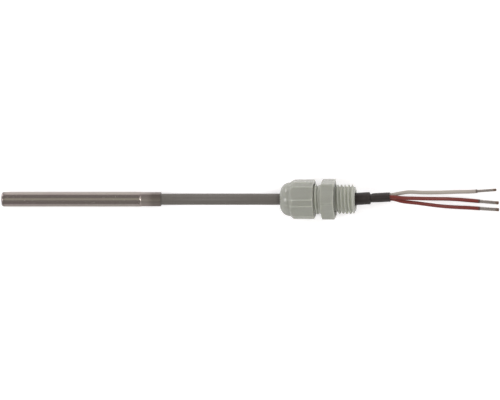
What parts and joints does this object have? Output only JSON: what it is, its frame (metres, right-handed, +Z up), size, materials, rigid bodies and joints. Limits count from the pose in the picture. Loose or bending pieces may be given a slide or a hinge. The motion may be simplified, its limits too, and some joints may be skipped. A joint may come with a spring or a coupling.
{
  "type": "cable temperature probe with cable gland",
  "caption": "Straight metal stem crimped on a cable, with a moulded cable gland and bare coloured leads for a terminal block.",
  "frame": {"origin": "on the surface that the probe lies on, under the middle of the stem, gland and sleeve", "axes": "+X from the stem's closed tip towards the leads, +Z up off the surface"},
  "size_m": [0.2032, 0.0164, 0.0165],
  "materials": {
    "stem": "drawn tube, satin, fine lengthwise lines",
    "ceramic": "matt ceramic",
    "tin": "tinned copper strands, dull shine",
    "copper": "bare copper",
    "resin": "clear amber",
    "jacket": "smooth grey-brown jacket, soft sheen",
    "gland": "moulded grey polyamide, satin",
    "seal": "black rubber",
    "sleeve": "black shrunk sleeve, satin",
    "white_insulation": "off-white, soft sheen",
    "red_insulation": "dark red, soft sheen"
  },
  "bodies": {
    "probe": {"stem_tube": "stem", "tip_filling": "ceramic", "sensor_chip": "ceramic", "sensor_wire_1": "tin", "sensor_wire_2": "tin", "white_splice": "copper", "red_splice": "copper", "white_splice_sleeve": "resin", "red_splice_sleeve": "resin", "white_core_end": "white_insulation", "red_core_end_1": "red_insulation", "red_core_end_2": "red_insulation", "white_strand_end": "copper", "red_strand_end_1": "copper", "red_strand_end_2": "copper", "rear_filling": "resin", "cable_jacket": "jacket", "gland_body": "gland", "shrunk_sleeve": "sleeve", "white_lead": "white_insulation", "red_lead_1": "red_insulation", "red_lead_2": "red_insulation", "white_bare_end": "tin", "red_bare_end_1": "tin", "red_bare_end_2": "tin"},
    "clamp": {"clamping_claw": "gland", "cable_seal": "seal"},
    "cap": {"cap_nut": "gland"}
  },
  "joints": [
    {"name": "clamp_slide", "type": "slide", "parent": "probe", "child": "clamp", "axis": [-1, 0, 0], "range_m": [0, 0.0075]},
    {"name": "cap_turn", "type": "hinge", "parent": "clamp", "child": "cap", "pos_m": [0.04009, 0, 0.00817], "axis": [-1, 0, 0], "range_deg": [0, 1800]}
  ],
  "couplings": [
    {"joint": "cap_turn", "follows": "clamp_slide", "rad_per_m": 4188.8}
  ]
}
